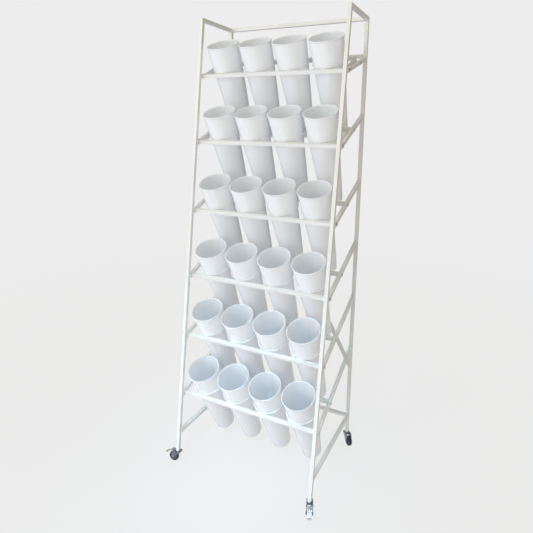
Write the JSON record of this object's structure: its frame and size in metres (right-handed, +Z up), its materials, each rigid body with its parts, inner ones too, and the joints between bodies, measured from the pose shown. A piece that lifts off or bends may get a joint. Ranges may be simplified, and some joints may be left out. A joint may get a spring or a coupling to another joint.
{
  "type": "wheeled bucket display rack",
  "caption": "Tall wheeled display rack of square steel tube: leaning tiers of wire rings, each ring holding a lift-out tapered plastic bucket.",
  "frame": {"origin": "centre of the rack's outline on the floor", "axes": "+Z up, +Y towards the vertical rear legs, X across the rack"},
  "size_m": [0.7976, 0.5926, 2.079],
  "materials": {
    "frame_paint": "semi-gloss powder coat",
    "ring_wire": "semi-gloss powder coat",
    "bucket_plastic": "glossy injection-moulded",
    "bolt_zinc": "zinc plated",
    "caster_zinc": "bright plated",
    "caster_wheel": "satin"
  },
  "bodies": {
    "rack": {"left_front_leg": "frame_paint", "left_rear_leg": "frame_paint", "left_cross_bars": "frame_paint", "right_front_leg": "frame_paint", "right_rear_leg": "frame_paint", "right_cross_bars": "frame_paint", "top_rear_rail": "frame_paint", "upper_rear_rail": "frame_paint", "lower_rear_rail": "frame_paint", "rear_brace": "frame_paint", "tier_1_frame": "frame_paint", "tier_2_frame": "frame_paint", "tier_3_frame": "frame_paint", "tier_4_frame": "frame_paint", "tier_5_frame": "frame_paint", "tier_6_frame": "frame_paint", "tier_1_rings": "ring_wire", "tier_2_rings": "ring_wire", "tier_3_rings": "ring_wire", "tier_4_rings": "ring_wire", "tier_5_rings": "ring_wire", "tier_6_rings": "ring_wire", "tier_bolts": "bolt_zinc", "caster_stems": "caster_zinc"},
    "bucket_1_1": {"bucket_1_1": "bucket_plastic"},
    "bucket_1_2": {"bucket_1_2": "bucket_plastic"},
    "bucket_1_3": {"bucket_1_3": "bucket_plastic"},
    "bucket_1_4": {"bucket_1_4": "bucket_plastic"},
    "bucket_2_1": {"bucket_2_1": "bucket_plastic"},
    "bucket_2_2": {"bucket_2_2": "bucket_plastic"},
    "bucket_2_3": {"bucket_2_3": "bucket_plastic"},
    "bucket_2_4": {"bucket_2_4": "bucket_plastic"},
    "bucket_3_1": {"bucket_3_1": "bucket_plastic"},
    "bucket_3_2": {"bucket_3_2": "bucket_plastic"},
    "bucket_3_3": {"bucket_3_3": "bucket_plastic"},
    "bucket_3_4": {"bucket_3_4": "bucket_plastic"},
    "bucket_4_1": {"bucket_4_1": "bucket_plastic"},
    "bucket_4_2": {"bucket_4_2": "bucket_plastic"},
    "bucket_4_3": {"bucket_4_3": "bucket_plastic"},
    "bucket_4_4": {"bucket_4_4": "bucket_plastic"},
    "bucket_5_1": {"bucket_5_1": "bucket_plastic"},
    "bucket_5_2": {"bucket_5_2": "bucket_plastic"},
    "bucket_5_3": {"bucket_5_3": "bucket_plastic"},
    "bucket_5_4": {"bucket_5_4": "bucket_plastic"},
    "bucket_6_1": {"bucket_6_1": "bucket_plastic"},
    "bucket_6_2": {"bucket_6_2": "bucket_plastic"},
    "bucket_6_3": {"bucket_6_3": "bucket_plastic"},
    "bucket_6_4": {"bucket_6_4": "bucket_plastic"},
    "front_left_caster": {"front_left_fork": "caster_zinc"},
    "front_left_wheel": {"front_left_wheel": "caster_wheel"},
    "front_left_brake": {"front_left_pedal": "caster_zinc"},
    "front_right_caster": {"front_right_fork": "caster_zinc"},
    "front_right_wheel": {"front_right_wheel": "caster_wheel"},
    "front_right_brake": {"front_right_pedal": "caster_zinc"},
    "rear_left_caster": {"rear_left_fork": "caster_zinc"},
    "rear_left_wheel": {"rear_left_wheel": "caster_wheel"},
    "rear_right_caster": {"rear_right_fork": "caster_zinc"},
    "rear_right_wheel": {"rear_right_wheel": "caster_wheel"}
  },
  "joints": [
    {"name": "lift_1_1", "type": "slide", "parent": "rack", "child": "bucket_1_1", "axis": [0, -0.4824, 0.876], "range_m": [0, 0.33]},
    {"name": "lift_1_2", "type": "slide", "parent": "rack", "child": "bucket_1_2", "axis": [0, -0.4824, 0.876], "range_m": [0, 0.33]},
    {"name": "lift_1_3", "type": "slide", "parent": "rack", "child": "bucket_1_3", "axis": [0, -0.4824, 0.876], "range_m": [0, 0.33]},
    {"name": "lift_1_4", "type": "slide", "parent": "rack", "child": "bucket_1_4", "axis": [0, -0.4824, 0.876], "range_m": [0, 0.33]},
    {"name": "lift_2_1", "type": "slide", "parent": "rack", "child": "bucket_2_1", "axis": [0, -0.4824, 0.876], "range_m": [0, 0.33]},
    {"name": "lift_2_2", "type": "slide", "parent": "rack", "child": "bucket_2_2", "axis": [0, -0.4824, 0.876], "range_m": [0, 0.33]},
    {"name": "lift_2_3", "type": "slide", "parent": "rack", "child": "bucket_2_3", "axis": [0, -0.4824, 0.876], "range_m": [0, 0.33]},
    {"name": "lift_2_4", "type": "slide", "parent": "rack", "child": "bucket_2_4", "axis": [0, -0.4824, 0.876], "range_m": [0, 0.33]},
    {"name": "lift_3_1", "type": "slide", "parent": "rack", "child": "bucket_3_1", "axis": [0, -0.4824, 0.876], "range_m": [0, 0.33]},
    {"name": "lift_3_2", "type": "slide", "parent": "rack", "child": "bucket_3_2", "axis": [0, -0.4824, 0.876], "range_m": [0, 0.33]},
    {"name": "lift_3_3", "type": "slide", "parent": "rack", "child": "bucket_3_3", "axis": [0, -0.4824, 0.876], "range_m": [0, 0.33]},
    {"name": "lift_3_4", "type": "slide", "parent": "rack", "child": "bucket_3_4", "axis": [0, -0.4824, 0.876], "range_m": [0, 0.33]},
    {"name": "lift_4_1", "type": "slide", "parent": "rack", "child": "bucket_4_1", "axis": [0, -0.4824, 0.876], "range_m": [0, 0.33]},
    {"name": "lift_4_2", "type": "slide", "parent": "rack", "child": "bucket_4_2", "axis": [0, -0.4824, 0.876], "range_m": [0, 0.33]},
    {"name": "lift_4_3", "type": "slide", "parent": "rack", "child": "bucket_4_3", "axis": [0, -0.4824, 0.876], "range_m": [0, 0.33]},
    {"name": "lift_4_4", "type": "slide", "parent": "rack", "child": "bucket_4_4", "axis": [0, -0.4824, 0.876], "range_m": [0, 0.33]},
    {"name": "lift_5_1", "type": "slide", "parent": "rack", "child": "bucket_5_1", "axis": [0, -0.4824, 0.876], "range_m": [0, 0.33]},
    {"name": "lift_5_2", "type": "slide", "parent": "rack", "child": "bucket_5_2", "axis": [0, -0.4824, 0.876], "range_m": [0, 0.33]},
    {"name": "lift_5_3", "type": "slide", "parent": "rack", "child": "bucket_5_3", "axis": [0, -0.4824, 0.876], "range_m": [0, 0.33]},
    {"name": "lift_5_4", "type": "slide", "parent": "rack", "child": "bucket_5_4", "axis": [0, -0.4824, 0.876], "range_m": [0, 0.33]},
    {"name": "lift_6_1", "type": "slide", "parent": "rack", "child": "bucket_6_1", "axis": [0, -0.4824, 0.876], "range_m": [0, 0.33]},
    {"name": "lift_6_2", "type": "slide", "parent": "rack", "child": "bucket_6_2", "axis": [0, -0.4824, 0.876], "range_m": [0, 0.33]},
    {"name": "lift_6_3", "type": "slide", "parent": "rack", "child": "bucket_6_3", "axis": [0, -0.4824, 0.876], "range_m": [0, 0.33]},
    {"name": "lift_6_4", "type": "slide", "parent": "rack", "child": "bucket_6_4", "axis": [0, -0.4824, 0.876], "range_m": [0, 0.33]},
    {"name": "front_left_swivel", "type": "hinge", "parent": "rack", "child": "front_left_caster", "pos_m": [-0.3303, -0.22874, 0.056], "axis": [0, 0, 1], "continuous": true},
    {"name": "front_left_roll", "type": "hinge", "parent": "front_left_caster", "child": "front_left_wheel", "pos_m": [-0.3553, -0.22874, 0.024], "axis": [0, -1, 0], "continuous": true},
    {"name": "front_left_brake_press", "type": "hinge", "parent": "front_left_caster", "child": "front_left_brake", "pos_m": [-0.3503, -0.22874, 0.055], "axis": [0, -1, 0], "range_deg": [0, 6]},
    {"name": "front_right_swivel", "type": "hinge", "parent": "rack", "child": "front_right_caster", "pos_m": [0.3597, -0.22874, 0.056], "axis": [0, 0, 1], "continuous": true},
    {"name": "front_right_roll", "type": "hinge", "parent": "front_right_caster", "child": "front_right_wheel", "pos_m": [0.36866, -0.25208, 0.024], "axis": [0.9336, 0.3584, 0], "continuous": true},
    {"name": "front_right_brake_press", "type": "hinge", "parent": "front_right_caster", "child": "front_right_brake", "pos_m": [0.36686, -0.24741, 0.055], "axis": [0.9336, 0.3584, 0], "range_deg": [0, 6]},
    {"name": "rear_left_swivel", "type": "hinge", "parent": "rack", "child": "rear_left_caster", "pos_m": [-0.3303, 0.27726, 0.056], "axis": [0, 0, 1], "continuous": true},
    {"name": "rear_left_roll", "type": "hinge", "parent": "rear_left_caster", "child": "rear_left_wheel", "pos_m": [-0.3303, 0.25226, 0.024], "axis": [1, 0, 0], "continuous": true},
    {"name": "rear_right_swivel", "type": "hinge", "parent": "rack", "child": "rear_right_caster", "pos_m": [0.3597, 0.27726, 0.056], "axis": [0, 0, 1], "continuous": true},
    {"name": "rear_right_roll", "type": "hinge", "parent": "rear_right_caster", "child": "rear_right_wheel", "pos_m": [0.37719, 0.2594, 0.024], "axis": [0.7145, 0.6997, 0], "continuous": true}
  ]
}
